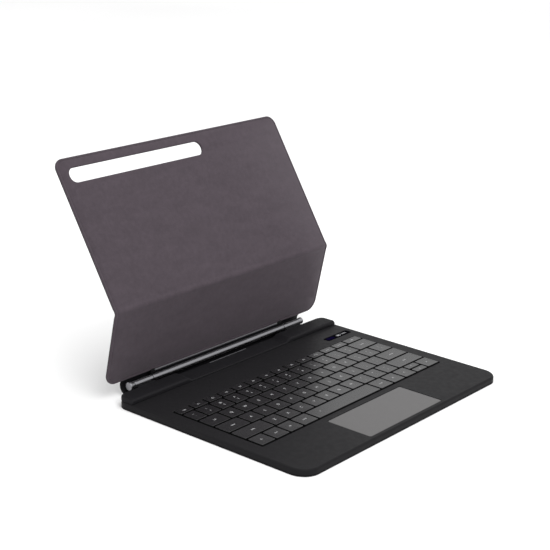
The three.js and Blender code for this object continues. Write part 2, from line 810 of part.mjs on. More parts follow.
const lowerPanel = new THREE.Group();
lowerPanel.position.set(0, HINGE.y, HINGE.z);
lowerPanel.rotation.x = tiltFor(LOWER_LEAN);
keyboardCase.add(lowerPanel);
addPiece(lowerPanel, "hinge_barrel", hingeBarrel(), ALUMINIUM);
addPiece(lowerPanel, "hinge_leaf", hingeLeaf(), COATED_STEEL);
addPiece(lowerPanel, "clamp_bar", clampBar(), ALUMINIUM);
addPiece(lowerPanel, "spine_upper", spineUpper(), LEATHER);
addPiece(lowerPanel, "lower_outer_skin", lowerOuterSkin(), LEATHER);
addPiece(lowerPanel, "lower_board", lowerBoard(), BOARD);
addPiece(lowerPanel, "lower_lining", lowerLining(), SUEDE);
addPiece(lowerPanel, "fold_bead", foldBead(), LEATHER);

const upperPanel = new THREE.Group();
upperPanel.position.set(0, FOLD_AT, lowerMiddle);
upperPanel.rotation.x = tiltFor(UPPER_LEAN) - tiltFor(LOWER_LEAN);
lowerPanel.add(upperPanel);
addPiece(upperPanel, "upper_outer_skin", upperOuterSkin(), LEATHER);
addPiece(upperPanel, "upper_board", upperBoard(), BOARD);
addPiece(upperPanel, "upper_lining", upperLining(), SUEDE);

for (const [name, side] of sides) {
  addPiece(lowerPanel, "bar_clip_" + name, barClip(side), BLACK_PLASTIC);
  addPiece(upperPanel, "magnet_" + name, holdingMagnet(side), STEEL);
}

export default keyboardCase;
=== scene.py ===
"""The looks of a tablet keyboard case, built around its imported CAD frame. All lengths are in metres."""

import json
import math

import bmesh
import bpy
from mathutils import Matrix, Vector


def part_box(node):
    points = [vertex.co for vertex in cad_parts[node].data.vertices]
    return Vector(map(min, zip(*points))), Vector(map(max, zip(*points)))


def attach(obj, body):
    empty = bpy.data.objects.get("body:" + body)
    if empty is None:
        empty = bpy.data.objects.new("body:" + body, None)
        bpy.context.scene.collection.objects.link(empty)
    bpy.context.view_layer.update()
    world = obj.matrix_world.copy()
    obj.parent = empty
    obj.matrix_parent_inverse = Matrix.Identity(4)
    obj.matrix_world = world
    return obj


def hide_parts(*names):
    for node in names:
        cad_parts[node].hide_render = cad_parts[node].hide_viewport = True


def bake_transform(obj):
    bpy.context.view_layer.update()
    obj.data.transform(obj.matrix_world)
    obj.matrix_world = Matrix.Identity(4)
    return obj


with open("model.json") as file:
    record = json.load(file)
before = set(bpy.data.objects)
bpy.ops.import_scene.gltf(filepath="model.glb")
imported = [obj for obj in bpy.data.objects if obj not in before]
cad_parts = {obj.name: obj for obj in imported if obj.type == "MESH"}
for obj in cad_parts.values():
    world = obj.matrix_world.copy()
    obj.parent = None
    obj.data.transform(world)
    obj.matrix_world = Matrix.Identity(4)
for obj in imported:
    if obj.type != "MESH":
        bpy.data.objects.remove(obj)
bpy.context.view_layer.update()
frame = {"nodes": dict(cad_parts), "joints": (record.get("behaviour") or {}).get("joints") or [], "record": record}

MM = 0.001
joint_at = {j["name"]: Vector(j["pos_m"]) for j in frame["joints"] if "pos_m" in j}
HINGE = joint_at["cover_hinge"]
FOLD = joint_at["cover_fold"]

# ------------------------------------------------------------------ driving dimensions

DECK_RADII = [17 * MM, 17 * MM, 12 * MM, 12 * MM]  # front left, front right, rear right, rear left
DECK_WALL = 2.2 * MM
DECK_EDGE = 2 * MM  # round along the deck's top edge
COVER_THICK = 1.2 * MM
KEY_WINDOW_RADIUS = 1.2 * MM
PAD_RADIUS = 2 * MM
DISPLAY_RADIUS = 1.2 * MM
FIT = 0.3 * MM
SHARP = 0.05 * MM  # smallest corner radius

KEY_GAP = 2 * MM
KEYCAP_RADIUS = 1.3 * MM

LOWER_LEAN = math.radians(-10.66)  # from upright, positive to the rear
UPPER_LEAN = math.radians(32.5)
PANEL_HALF = 154 * MM
PANEL_THICK = 2.8 * MM
PANEL_RIM = 1.2 * MM  # solid edge of a panel, round its pocket
PANEL_SKIN = 0.6 * MM
SUEDE_THICK = 0.7 * MM
SEAM_AT = 0  # where leather meets suede round the edge, from the middle of the thickness
SEAM_GAP = 0.05 * MM
LEATHER_ROUND = 1.1 * MM  # rounds along the panels' outer and inner edges
SUEDE_ROUND = 0.8 * MM
GROOVE_AT = 1.7 * MM  # line pressed into the suede, in from its edge
GROOVE_HALF = 0.6 * MM
GROOVE_DEEP = 0.36 * MM
PANEL_START = 5.3 * MM  # from the hinge axis, up the cover
UPPER_LENGTH = 149.9 * MM
LOWER_RADIUS = 12 * MM
UPPER_RADIUS = 10 * MM
SLOT = {"left": -142 * MM, "right": 34 * MM, "low": 125.1 * MM, "high": 139.5 * MM}
BEND_REACH = 5 * MM  # how far the bend runs to each side of the crease

RIDGE_TOP = 11.2 * MM
LEDGE_TOP = 8 * MM
RIDGE_END = 151 * MM
RIDGE_STEP = 74 * MM  # where the side blocks come down to the ledge
RIDGE_CORNER = 9 * MM  # round of the ridge's ends seen from above
RIDGE_END_ROUND = 2.2 * MM
RIDGE_EDGE = 2.3 * MM  # rounds along its front and rear
TRIM_RADIUS = 0.35 * MM

BARREL_RADIUS = 3.2 * MM
BORE_RADIUS = 1.5 * MM
CAP_RADII = {"left": 4.3 * MM, "right": 3.5 * MM}  # only the left cap flares
CAP_BLIND = 0.15 * MM  # radius of the small hollow at the end of a cap's bore
CAP_FLOOR = 3.4 * MM  # from a cap's end to the end of its bore
# On the lower panel: up from the hinge axis, out of the suede from that axis, and the corner radius.
CLAMP_BAR = {"low": 4.3 * MM, "high": 6 * MM, "back": -3.7 * MM, "front": -2.7 * MM, "corner": 0.8 * MM}
BAR_CLIP = {"low": 3.9 * MM, "high": 7 * MM, "back": -3.7 * MM, "front": -2.4 * MM, "corner": 1 * MM}
SPINE_RADIUS = 8 * MM  # middle of the leather, about the hinge axis
SPINE_THICK = 1.4 * MM
SPINE_END = math.radians(36)  # where it meets the lower panel, up from level on an upright cover


# ------------------------------------------------------------------ camera, light and floor

CAMERA_AT = Vector((-0.983, -0.746, 0.5124))
CAMERA_AZIMUTH = math.radians(-50.9)
CAMERA_ELEVATION = math.radians(17.83)
CAMERA_ROLL = math.radians(1.9)
LENS_MM = 92.06
SENSOR_MM = 36

WORLD_LIGHT = 1.15
LIGHTS = {  # where each stands, where it aims, its size and its power
    "key_light": ((-0.5, -0.9, 1.3), (0, 0, 0.05), 0.9, 9),
    "top_light": ((0.3, 0.1, 1.4), (0, 0, 0), 1.0, 6),
}
FLOOR_SIZE = 8
FLOOR_TONE = 0.88


def add_camera():
    az, el = CAMERA_AZIMUTH, CAMERA_ELEVATION
    back = Vector((math.sin(az) * math.cos(el), -math.cos(az) * math.cos(el), math.sin(el)))
    right = Vector((0, 0, 1)).cross(back).normalized()
    up = back.cross(right)
    cos, sin = math.cos(CAMERA_ROLL), math.sin(CAMERA_ROLL)
    axes = Matrix((right * cos + up * sin, up * cos - right * sin, back)).transposed()
    data = bpy.data.cameras.new("camera")
    data.sensor_width = SENSOR_MM
    data.lens = LENS_MM
    camera = bpy.data.objects.new("camera", data)
    camera.matrix_world = Matrix.Translation(CAMERA_AT) @ axes.to_4x4()
    bpy.context.scene.collection.objects.link(camera)
    bpy.context.scene.camera = camera


def add_light(name, at, aim, size, power):
    data = bpy.data.lights.new(name, "AREA")
    data.shape = "DISK"
    data.size = size
    data.energy = power
    light = bpy.data.objects.new(name, data)
    light.location = at
    light.rotation_euler = (Vector(aim) - Vector(at)).to_track_quat("-Z", "Y").to_euler()
    bpy.context.scene.collection.objects.link(light)


def add_studio():
    world = bpy.data.worlds.new("studio")
    world.use_nodes = True
    background = world.node_tree.nodes["Background"]
    background.inputs["Color"].default_value = (1, 1, 1, 1)
    background.inputs["Strength"].default_value = WORLD_LIGHT
    bpy.context.scene.world = world
    bpy.context.scene.view_settings.view_transform = "Standard"
    for name, placing in LIGHTS.items():
        add_light(name, *placing)
    bpy.ops.mesh.primitive_plane_add(size=FLOOR_SIZE)
    floor = bpy.context.object
    floor.name = "floor"
    paper = plain_surface("floor_paper", [FLOOR_TONE] * 3, roughness=0.9, size=40 * MM, depth=0.02 * MM)
    floor.data.materials.append(paper)


# ------------------------------------------------------------------ materials


class Shading:
    """A material's node tree, with short calls that add and link its nodes."""

    def __init__(self, name):
        self.material = bpy.data.materials.new(name)
        self.material.use_nodes = True
        self.tree = self.material.node_tree
        self.shader = self.tree.nodes["Principled BSDF"]
        self.place = self.node("ShaderNodeTexCoord").outputs["Object"]

    def node(self, kind, **settings):
        made = self.tree.nodes.new(kind)
        for key, value in settings.items():
            setattr(made, key, value)
        return made

    def link(self, output, target):
        self.tree.links.new(output, target)

    def scaled(self, size):
        """The place, in units of size: one length, or one for each axis."""
        mapping = self.node("ShaderNodeMapping")
        sizes = size if hasattr(size, "__len__") else [size] * 3
        mapping.inputs["Scale"].default_value = [1 / s for s in sizes]
        self.link(self.place, mapping.inputs["Vector"])
        return mapping.outputs["Vector"]

    def noise(self, size, detail=3, rough=0.5):
        node = self.node("ShaderNodeTexNoise")
        node.inputs["Scale"].default_value = 1
        node.inputs["Detail"].default_value = detail
        node.inputs["Roughness"].default_value = rough
        self.link(self.scaled(size), node.inputs["Vector"])
        return node.outputs["Fac"]

    def cells(self, size):
        """Rounded cells with creases between them, as in leather's grain."""
        node = self.node("ShaderNodeTexVoronoi", feature="SMOOTH_F1")
        node.inputs["Scale"].default_value = 1
        node.inputs["Smoothness"].default_value = 0.35
        self.link(self.scaled(size), node.inputs["Vector"])
        return node.outputs["Distance"]

    def ranged(self, value, low, high, new_low, new_high):
        node = self.node("ShaderNodeMapRange")
        for key, number in zip(("From Min", "From Max", "To Min", "To Max"), (low, high, new_low, new_high)):
            node.inputs[key].default_value = number
        self.link(value, node.inputs["Value"])
        return node.outputs["Result"]

    def math(self, operation, first, second):
        node = self.node("ShaderNodeMath", operation=operation)
        for socket, value in zip(node.inputs, (first, second)):
            if isinstance(value, (int, float)):
                socket.default_value = value
            else:
                self.link(value, socket)
        return node.outputs["Value"]

    def colours(self, value, dark, light):
        """The colour between dark and light that value, from 0 to 1, picks."""
        node = self.node("ShaderNodeMix", data_type="RGBA")
        node.inputs["A"].default_value = (*dark, 1)
        node.inputs["B"].default_value = (*light, 1)
        self.link(value, node.inputs["Factor"])
        self.link(node.outputs["Result"], self.shader.inputs["Base Color"])

    def rough(self, value, low, high):
        self.link(self.ranged(value, 0.3, 0.7, low, high), self.shader.inputs["Roughness"])

    def bump(self, height, depth, strength=1.0):
        node = self.node("ShaderNodeBump")
        node.inputs["Distance"].default_value = depth
        node.inputs["Strength"].default_value = strength
        self.link(height, node.inputs["Height"])
        self.link(node.outputs["Normal"], self.shader.inputs["Normal"])

    def constant(self, values):
        """Numbers and colours that are the same all over the surface, by the shader's own names."""
        for key, value in values.items():
            self.shader.inputs[key].default_value = value


def shades(colour, spread):
    """A darker and a lighter colour around one colour."""
    return [c * (1 - spread) for c in colour], [c * (1 + spread) for c in colour]


def leather(name, colour, grain, roughness, depth, specular, spread=0.14):
    """Coated leather: rounded grain cells with fine creases, and slow changes of tone."""
    s = Shading(name)
    cells = s.cells(grain)
    fine = s.noise(grain * 0.4, 4)
    height = s.math("ADD", s.math("MULTIPLY", cells, -1.0), s.math("MULTIPLY", fine, 0.35))
    broad = s.noise(28 * MM, 3)
    tone = s.math("ADD", s.math("MULTIPLY", broad, 0.6), s.math("MULTIPLY", cells, -0.35))
    s.colours(s.ranged(tone, -0.1, 0.4, 0, 1), *shades(colour, spread))
    s.rough(s.noise(6 * MM), roughness - 0.04, roughness + 0.05)
    s.bump(height, depth, 0.8)
    s.constant({"Specular IOR Level": specular})
    return s.material


def suede(name, colour):
    """Microsuede: a short brushed nap that lies this way and that in soft patches."""
    s = Shading(name)
    brushed = s.noise((26 * MM, 11 * MM, 11 * MM), 4, 0.55)
    patches = s.noise(5 * MM, 4, 0.65)
    nap = s.noise(0.45 * MM, 5, 0.7)
    strands = s.noise((0.25 * MM, 1.3 * MM, 1.3 * MM), 2)
    tone = s.math("ADD", s.math("MULTIPLY", brushed, 0.3), s.math("MULTIPLY", patches, 0.5))
    tone = s.math("ADD", tone, s.math("MULTIPLY", nap, 0.35))
    s.colours(s.ranged(tone, 0.4, 0.75, 0, 1), *shades(colour, 0.19))
    s.rough(patches, 0.9, 1.0)
    s.bump(s.math("ADD", nap, s.math("MULTIPLY", strands, 0.6)), 0.09 * MM, 0.7)
    sheen = {"Sheen Weight": 0.14, "Sheen Roughness": 0.5, "Sheen Tint": (0.85, 0.78, 0.84, 1)}
    s.constant({**sheen, "Specular IOR Level": 0.12})
    return s.material


def plain_surface(name, colour, roughness, size, depth, specular=0.5, spread=0.08):
    """A moulded, painted or sheet surface: a fine even texture over a slow change of tone."""
    s = Shading(name)
    fine = s.noise(size, 4)
    s.colours(s.ranged(s.noise(size * 40, 2), 0.3, 0.7, 0, 1), *shades(colour, spread))
    s.rough(fine, roughness - 0.05, roughness + 0.05)
    s.bump(fine, depth)
    s.constant({"Specular IOR Level": specular})
    return s.material


def brushed_metal(name, colour, roughness, along):
    """Metal with fine marks drawn out along an axis: along holds the marks' size on X, Y and Z."""
    s = Shading(name)
    marks = s.noise(along, 3, 0.6)
    s.colours(s.ranged(marks, 0.3, 0.7, 0, 1), *shades(colour, 0.1))
    s.rough(marks, roughness - 0.08, roughness + 0.08)
    s.bump(marks, 0.01 * MM, 0.5)
    s.constant({"Metallic": 1.0})
    return s.material


def glass(name, colour, roughness):
    """A smooth hard surface with faint smudges in its gloss."""
    s = Shading(name)
    smudges = s.noise(14 * MM, 4, 0.6)
    s.colours(s.ranged(smudges, 0.3, 0.7, 0, 1), *shades(colour, 0.04))
    s.rough(smudges, roughness - 0.02, roughness + 0.03)
    s.bump(s.noise(0.5 * MM, 2), 0.004 * MM, 0.3)
    s.constant({"Specular IOR Level": 0.0})
    return s.material


def printed_mark(name, colour, glow):
    """Printed or lit marks, matt, with a little unevenness in the ink; on printed marks the glow is a painted
    glow.
    """
    s = Shading(name)
    s.colours(s.ranged(s.noise(0.6 * MM), 0.3, 0.7, 0, 1), *shades(colour, 0.08))
    s.constant({"Roughness": 0.7, "Specular IOR Level": 0.0})
    s.constant({"Emission Strength": glow, "Emission Color": (*colour, 1)})
    return s.material


FINISHES = {
    "leather": leather(
        "outer_leather",
        (0.0085, 0.0081, 0.0095),
        grain=0.9 * MM,
        roughness=0.6,
        depth=0.08 * MM,
        specular=0.09,
    ),
    "deck_finish": leather(
        "deck_leather",
        (0.0102, 0.0098, 0.0108),
        grain=0.55 * MM,
        roughness=0.48,
        depth=0.02 * MM,
        specular=0.055,
        spread=0.05,
    ),
    "suede": suede("microsuede", (0.051, 0.0405, 0.0485)),
    "keycap": plain_surface(
        "key_plastic",
        (0.0065, 0.0063, 0.0072),
        roughness=0.3,
        size=0.16 * MM,
        depth=0.006 * MM,
        specular=0.43,
    ),
    "pad_surface": plain_surface(
        "trackpad_satin",
        (0.062, 0.0595, 0.06),
        roughness=0.36,
        size=0.12 * MM,
        depth=0.003 * MM,
        specular=0.34,
        spread=0.03,
    ),
    "display_glass": glass("display_gloss", (0.002, 0.002, 0.003), roughness=0.3),
    "aluminium": brushed_metal(
        "hinge_aluminium", (0.245, 0.245, 0.258), roughness=0.33, along=(6 * MM, 0.12 * MM, 0.12 * MM)
    ),
    "steel": brushed_metal(
        "sheet_steel", (0.45, 0.45, 0.46), roughness=0.36, along=(0.15 * MM, 4 * MM, 4 * MM)
    ),
    "coated_steel": plain_surface(
        "black_coated_steel",
        (0.008, 0.008, 0.009),
        roughness=0.5,
        size=0.25 * MM,
        depth=0.01 * MM,
        specular=0.2,
    ),
    "black_plastic": plain_surface(
        "black_moulding",
        (0.005, 0.005, 0.0055),
        roughness=0.55,
        size=0.2 * MM,
        depth=0.02 * MM,
        specular=0.15,
    ),
    "circuit": plain_surface(
        "circuit_board", (0.02, 0.075, 0.032), roughness=0.45, size=0.7 * MM, depth=0.03 * MM, spread=0.25
    ),
    "cell_foil": plain_surface(
        "cell_pouch", (0.32, 0.33, 0.35), roughness=0.4, size=1.2 * MM, depth=0.06 * MM
    ),
    "panel_board": plain_surface(
        "stiffening_board", (0.15, 0.13, 0.1), roughness=0.85, size=0.5 * MM, depth=0.05 * MM, spread=0.2
    ),
}
# The keycap plastic again, darker and duller: painted shade for the caps' steep sides.
KEY_SIDES_PAINTED_SHADE = plain_surface(
    "key_sides_painted_shade", (0.004, 0.004, 0.0045), roughness=0.6, size=0.2 * MM, depth=0.01 * MM, specular=0.08
)
# The legends are printed, not lit: their small glow is painted light that brightens the ink.
LEGEND_INK_PAINTED_GLOW = printed_mark("legend_ink_painted_glow", (0.42, 0.42, 0.43), glow=0.06)
LIT_WHITE = printed_mark("display_white", (0.3, 0.3, 0.31), glow=0.3)
LIT_BLUE = printed_mark("display_blue", (0.003, 0.002, 0.014), glow=0.2)


def dress_cad_nodes():
    """Every CAD node that stays gets the finish of its material slot."""
    slots = {row["node"]: row["material_slot"] for row in frame["record"]["subparts"]}
    for name, node in frame["nodes"].items():
        node.data.materials.clear()
        node.data.materials.append(FINISHES[slots[name]])


# ------------------------------------------------------------------ mesh making


def rounded(x0, x1, y0, y1, radii, steps):
    """An outline with round corners, as a function of an inset: front left corner first, anticlockwise."""

    def at(inset):
        left, right, front, rear = x0 + inset, x1 - inset, y0 + inset, y1 - inset
        corners = [(left, front), (right, front), (right, rear), (left, rear)]
        inward = [(1, 1), (-1, 1), (-1, -1), (1, -1)]
        points = []
        for number, ((x, y), (dx, dy), radius) in enumerate(zip(corners, inward, radii)):
            r = max(radius - inset, SHARP)
            for step in range(steps + 1):
                angle = math.pi * (1 + number / 2 + step / steps / 2)
                points.append((x + dx * r + r * math.cos(angle), y + dy * r + r * math.sin(angle)))
        return points

    return at


def box_outline(node, radius, grow=0.0):
    """The outline of a CAD node's box seen from above."""
    low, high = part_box(node)
    return rounded(low.x - grow, high.x + grow, low.y - grow, high.y + grow, [radius] * 4, 6)


def quarter_turn(steps):
    """Even angles from 0 to a right angle."""
    return [math.pi / 2 * step / steps for step in range(steps + 1)]


def edge(z0, z1, low, high, steps=4):
    """A plate's edge from the bottom up, as (inset, height), with rounds of radius low and high, and lips."""
    turns = quarter_turn(steps)
    lip = 0.3 * MM
    bottom = [(low * (1 - math.sin(a)), z0 + low * (1 - math.cos(a))) for a in turns]
    top = [(high * (1 - math.cos(a)), z1 - high * (1 - math.sin(a))) for a in turns]
    return [(low + lip, z0), *bottom, *top, (high + lip, z1)]


def plate(outline, profile, holes=(), hole_profile=None):
    """A plate whose outer edge follows profile, and whose holes' edges follow hole_profile or the same."""
    mesh = bmesh.new()
    bottoms, tops = [], []
    cuts = [(outline, profile, 1)] + [(hole, hole_profile or profile, -1) for hole in holes]
    for shape, path, sign in cuts:
        rings = [[mesh.verts.new((x, y, z)) for x, y in shape(sign * inset)] for inset, z in path]
        for low, high in zip(rings, rings[1:]):
            for i in range(len(low)):
                mesh.faces.new((low[i - 1], low[i], high[i], high[i - 1]))
        bottoms.append(rings[0])
        tops.append(rings[-1])
    for rims in (bottoms, tops):
        edges = [mesh.edges.get((ring[i - 1], ring[i])) for ring in rims for i in range(len(ring))]
        bmesh.ops.triangle_fill(mesh, edges=edges, use_beauty=True)
    bmesh.ops.recalc_face_normals(mesh, faces=mesh.faces)
    return mesh


def loft(rings, ring_closed=False):
    """A skin over closed rings of points: capped at both ends, or joined end to end."""
    mesh = bmesh.new()
    loops = [[mesh.verts.new(point) for point in ring] for ring in rings]
    pairs = list(zip(loops, loops[1:])) + ([(loops[-1], loops[0])] if ring_closed else [])
    for first, second in pairs:
        for i in range(len(first)):
            mesh.faces.new((first[i - 1], first[i], second[i], second[i - 1]))
    if not ring_closed:
        mesh.faces.new(loops[0])
        mesh.faces.new(loops[-1])
    bmesh.ops.recalc_face_normals(mesh, faces=mesh.faces)
    return mesh


def merged(meshes):
    """Several meshes as one."""
    whole = bmesh.new()
    for mesh in meshes:
        data = bpy.data.meshes.new("part")
        mesh.to_mesh(data)
        mesh.free()
        whole.from_mesh(data)
        bpy.data.meshes.remove(data)
    return whole


def add(name, mesh, finish, body=None, replaces=(), sharp=35, material=None):
    """A piece of a mesh, with its finish, on its body and in place of its CAD nodes."""
    data = bpy.data.meshes.new(name)
    mesh.to_mesh(data)
    mesh.free()
    data.polygons.foreach_set("use_smooth", [True] * len(data.polygons))
    data.set_sharp_from_angle(angle=math.radians(sharp))
    data.materials.append(material or FINISHES[finish])
    piece = bpy.data.objects.new(name, data)
    bpy.context.scene.collection.objects.link(piece)
    if body:
        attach(piece, body)
    if replaces:
        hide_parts(*replaces)
    return piece


# ------------------------------------------------------------------ deck


def key_field():
    """The rectangle that the keys fill: x0, x1, y0, y1."""
    boxes = [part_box(node) for node in BANKS]
    half_gap = KEY_GAP / 2
    return (
        min(low.x for low, _ in boxes) - half_gap,
        max(high.x for _, high in boxes) + half_gap,
        min(low.y for low, _ in boxes) - half_gap,
        max(high.y for _, high in boxes) + half_gap,
    )


def add_deck():
    low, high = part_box("top_cover")
    outline = rounded(low.x, high.x, low.y, high.y, DECK_RADII, 16)
    under = high.z - COVER_THICK
    wall = [(DECK_WALL, under), (DECK_WALL, low.z), (0.5 * MM, low.z)]
    outer = wall + edge(low.z, high.z, 0.3 * MM, DECK_EDGE, 6)[1:]
    rim = [(0, under), *edge(under, high.z, 0.1 * MM, 0.45 * MM, 4)[2:]]
    x0, x1, y0, y1 = key_field()
    windows = [
        rounded(x0 - FIT, x1 + FIT, y0 - FIT, y1 + FIT, [KEY_WINDOW_RADIUS] * 4, 6),
        box_outline("trackpad_plate", PAD_RADIUS + FIT, FIT),
        box_outline("display_window", DISPLAY_RADIUS + FIT, FIT),
    ]
    add("deck_top", plate(outline, outer, windows, rim), "deck_finish", "deck", ["top_cover"])

    low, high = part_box("bottom_skin")
    outline = rounded(low.x, high.x, low.y, high.y, DECK_RADII, 16)
    mesh = plate(outline, edge(low.z, high.z, 0.4 * MM, 0.15 * MM))
    add("deck_underside", mesh, "leather", "deck", ["bottom_skin"])


def add_trackpad():
    low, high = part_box("trackpad_plate")
    profile = edge(low.z, high.z, 0.1 * MM, 0.25 * MM)
    mesh = plate(box_outline("trackpad_plate", PAD_RADIUS), profile)
    add("trackpad_surface", mesh, "pad_surface", "trackpad", ["trackpad_plate"])


# ------------------------------------------------------------------ keys

# The widths of a bank's keys in pitches, and what is printed on each. Two marks are one over the other.
BANKS = {
    "left_modifier_keys": ([1.03, 1.02, 1.02, 1.12], ["fn", "ctrl", "alt", "cmd"]),
    "spacebar": ([1], ["*"]),
    "right_modifier_keys": ([1.1, 1.02], ["cmd", "alt"]),
    "arrow_left_key": ([1], ["<"]),
    "arrow_up_key": ([1], ["^"]),
    "arrow_down_key": ([1], ["v"]),
    "arrow_right_key": ([1], [">"]),
    "left_shift_key": ([1], ["shift"]),
    "bottom_letter_keys": ([1] * 10, [*"ZXCVBNM", "< ,", "> .", "? /"]),
    "right_shift_key": ([1], ["shift"]),
    "caps_lock_key": ([1], ["caps"]),
    "home_letter_keys": ([1] * 11, [*"ASDFGHJKL", ": ;", "\" '"]),
    "return_key": ([1], ["enter"]),
    "tab_key": ([1], ["tab"]),
    "top_letter_keys": ([1] * 12, [*"QWERTYUIOP", "{ [", "} ]"]),
    "backslash_key": ([1], ["| \\"]),
    "number_keys": (
        [0.84] + [1] * 12,
        ["~ `", "! 1", "@ 2", "# 3", "$ 4", "% 5", "^ 6", "& 7", "* 8", "( 9", ") 0", "_ -", "+ ="],
    ),
    "backspace_key": ([1], ["back"]),
    "function_keys": ([1.01] * 13 + [1.27], ["esc", *[f"F{n}" for n in range(1, 13)], "del"]),
}
SPACE_MARK_AT = 0.14  # the only mark that is not in the middle of its key
LETTER_SIZE = 4.1 * MM
WORD_SIZE = 3 * MM
MARK_SIZE = 3.2 * MM
STACKED_MARK_AT = 2.6 * MM  # from the middle of a key to each of its two marks
LEGEND_THICK = 0.03 * MM
DISH = 0.07 * MM
# How far in from a cap's edge its top has sunk by each share of the dish.
DISH_SLOPE = [(1.2 * MM, 0.25), (2 * MM, 0.6), (2.9 * MM, 0.85), (3.7 * MM, 1)]
PAINTED_SHADE_SLOPE = 0.6  # faces of a cap steeper than this get painted shade: the darker, duller copy of the key plastic


def key_cap(x0, x1, y0, y1, bottom, top):
    """A cap with round corners and a shallow dish in its top."""
    profile = edge(bottom, top, 0.2 * MM, 0.38 * MM, 4)
    dish = [(inset, top - DISH * share) for inset, share in DISH_SLOPE]
    return plate(rounded(x0, x1, y0, y1, [KEYCAP_RADIUS] * 4, 5), profile + dish)


def glyphs(text, size, x, y, z):
    """Raised text, centred at a point."""
    curve = bpy.data.curves.new("glyphs", "FONT")
    curve.body = text
    curve.size = size
    curve.align_x = "CENTER"
    curve.align_y = "CENTER"
    curve.resolution_u = 3
    curve.extrude = LEGEND_THICK / 2
    holder = bpy.data.objects.new("glyphs", curve)
    holder.location = (x, y, z)
    bpy.context.scene.collection.objects.link(holder)
    bpy.context.view_layer.update()
    data = bpy.data.meshes.new_from_object(holder.evaluated_get(bpy.context.evaluated_depsgraph_get()))
    data.transform(holder.matrix_world)
    mesh = bmesh.new()
    mesh.from_mesh(data)
    bmesh.ops.remove_doubles(mesh, verts=mesh.verts, dist=1e-6)
    bpy.data.objects.remove(holder)
    bpy.data.curves.remove(curve)
    bpy.data.meshes.remove(data)
    return mesh


def legend(text, x, y, z):
    """The marks of one key: a letter, a word, or one mark over another."""
    if " " in text:
        upper, lower = text.split(" ")
        return [
            glyphs(upper, MARK_SIZE, x, y + STACKED_MARK_AT, z),
            glyphs(lower, MARK_SIZE, x, y - STACKED_MARK_AT, z),
        ]
    size = LETTER_SIZE if len(text) == 1 else WORD_SIZE
    return [glyphs(text, size, x, y, z)]


def add_keys():
    low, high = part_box("spacebar")
    bottom, top = low.z, high.z
    for bank, (widths, legends) in BANKS.items():
        low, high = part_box(bank)
        pitch = (high.x - low.x + KEY_GAP) / sum(widths)
        left = low.x - KEY_GAP / 2
        caps, marks = [], []
        for width, text in zip(widths, legends):
            right = left + width * pitch
            caps.append(key_cap(left + KEY_GAP / 2, right - KEY_GAP / 2, low.y, high.y, bottom, top))
            share = SPACE_MARK_AT if bank == "spacebar" else 0.5
            marks += legend(text, left + (right - left) * share, (low.y + high.y) / 2, top - DISH / 2)
            left = right
        piece = add(bank + "_caps", merged(caps), "keycap", bank, [bank])
        # Steep faces of the caps take the darker copy of the plastic: painted shade on their sides.
        piece.data.materials.append(KEY_SIDES_PAINTED_SHADE)
        for face in piece.data.polygons:
            face.material_index = int(face.normal.z < PAINTED_SHADE_SLOPE)
        # The legend ink carries a painted glow.
        add(bank + "_legends", merged(marks), None, bank, sharp=20, material=LEGEND_INK_PAINTED_GLOW)


# ------------------------------------------------------------------ status display


READING_SIZE = 4 * MM
READING_AT = 8 * MM  # in from the right-hand end
# Shapes on the display: start and end in from one end of it, half height, corner radius and corner steps.
GLOW = (2 * MM, 13 * MM, 2.4 * MM, 0.6 * MM, 3)
BATTERY = (20 * MM, 14 * MM, 1.5 * MM, 0.5 * MM, 3)
BATTERY_INSIDE = (19.5 * MM, 14.5 * MM, 1 * MM, 0.3 * MM, 3)
BATTERY_LEVEL = (19 * MM, 16 * MM, 0.6 * MM, 0.1 * MM, 2)


def add_display():
    low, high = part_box("display_window")
    mesh = plate(box_outline("display_window", DISPLAY_RADIUS), edge(low.z, high.z, 0.1 * MM, 0.2 * MM))
    add("display_cover", mesh, "display_glass", "deck", ["display_window"])
    middle = (low.y + high.y) / 2
    thin = edge(high.z, high.z + LEGEND_THICK, 0.005 * MM, 0.005 * MM, 1)[1:-1]

    def outline(end_x, inward, shape):
        start, end, half, radius, steps = shape
        x0, x1 = end_x + inward * start, end_x + inward * end
        return rounded(x0, x1, middle - half, middle + half, [radius] * 4, steps)

    add("display_glow", plate(outline(low.x, 1, GLOW), thin), None, "deck", material=LIT_BLUE)

    marks = [glyphs("86%", READING_SIZE, high.x - READING_AT, middle, high.z + LEGEND_THICK / 2)]
    marks.append(plate(outline(high.x, -1, BATTERY), thin, [outline(high.x, -1, BATTERY_INSIDE)]))
    marks.append(plate(outline(high.x, -1, BATTERY_LEVEL), thin))
    add("display_marks", merged(marks), None, "deck", sharp=20, material=LIT_WHITE)


# ------------------------------------------------------------------ ridge along the deck's rear


def smooth(value, low, high):
    """A soft step from 0 at low to 1 at high."""
    share = min(max((value - low) / (high - low), 0), 1)
    return share * share * (3 - 2 * share)


def rounded_off(radius, from_end):
    """How far a round of this radius pulls a surface in, at a distance from the end."""
    return radius - math.sqrt(max(radius**2 - max(radius - from_end, 0) ** 2, 0))


def ridge_section(x, base, front, rear):
    """A closed section of the ridge across X: flat below, with rounded front and rear top edges."""
    raised = smooth(abs(x), RIDGE_STEP - 5 * MM, RIDGE_STEP + 3 * MM)
    top = LEDGE_TOP + (RIDGE_TOP - LEDGE_TOP) * raised
    from_end = RIDGE_END - abs(x)
    pulled = rounded_off(RIDGE_CORNER, from_end)
    top = max(top - rounded_off(RIDGE_END_ROUND, from_end), base + 0.4 * MM)
    front = front + pulled * 0.06
    rear = rear - pulled
    radius = min(RIDGE_EDGE, top - base - 0.1 * MM)
    turns = quarter_turn(6)
    rise = [(front + radius * (1 - math.cos(a)), top - radius * (1 - math.sin(a))) for a in turns]
    fall = [(rear - radius * (1 - math.sin(a)), top - radius * (1 - math.cos(a))) for a in turns]
    flat = [(front + radius + (rear - front - 2 * radius) * share, top) for share in (0.25, 0.5, 0.75)]
    return [(x, y, z) for y, z in [(front, base), *rise, *flat, *fall, (rear, base)]]


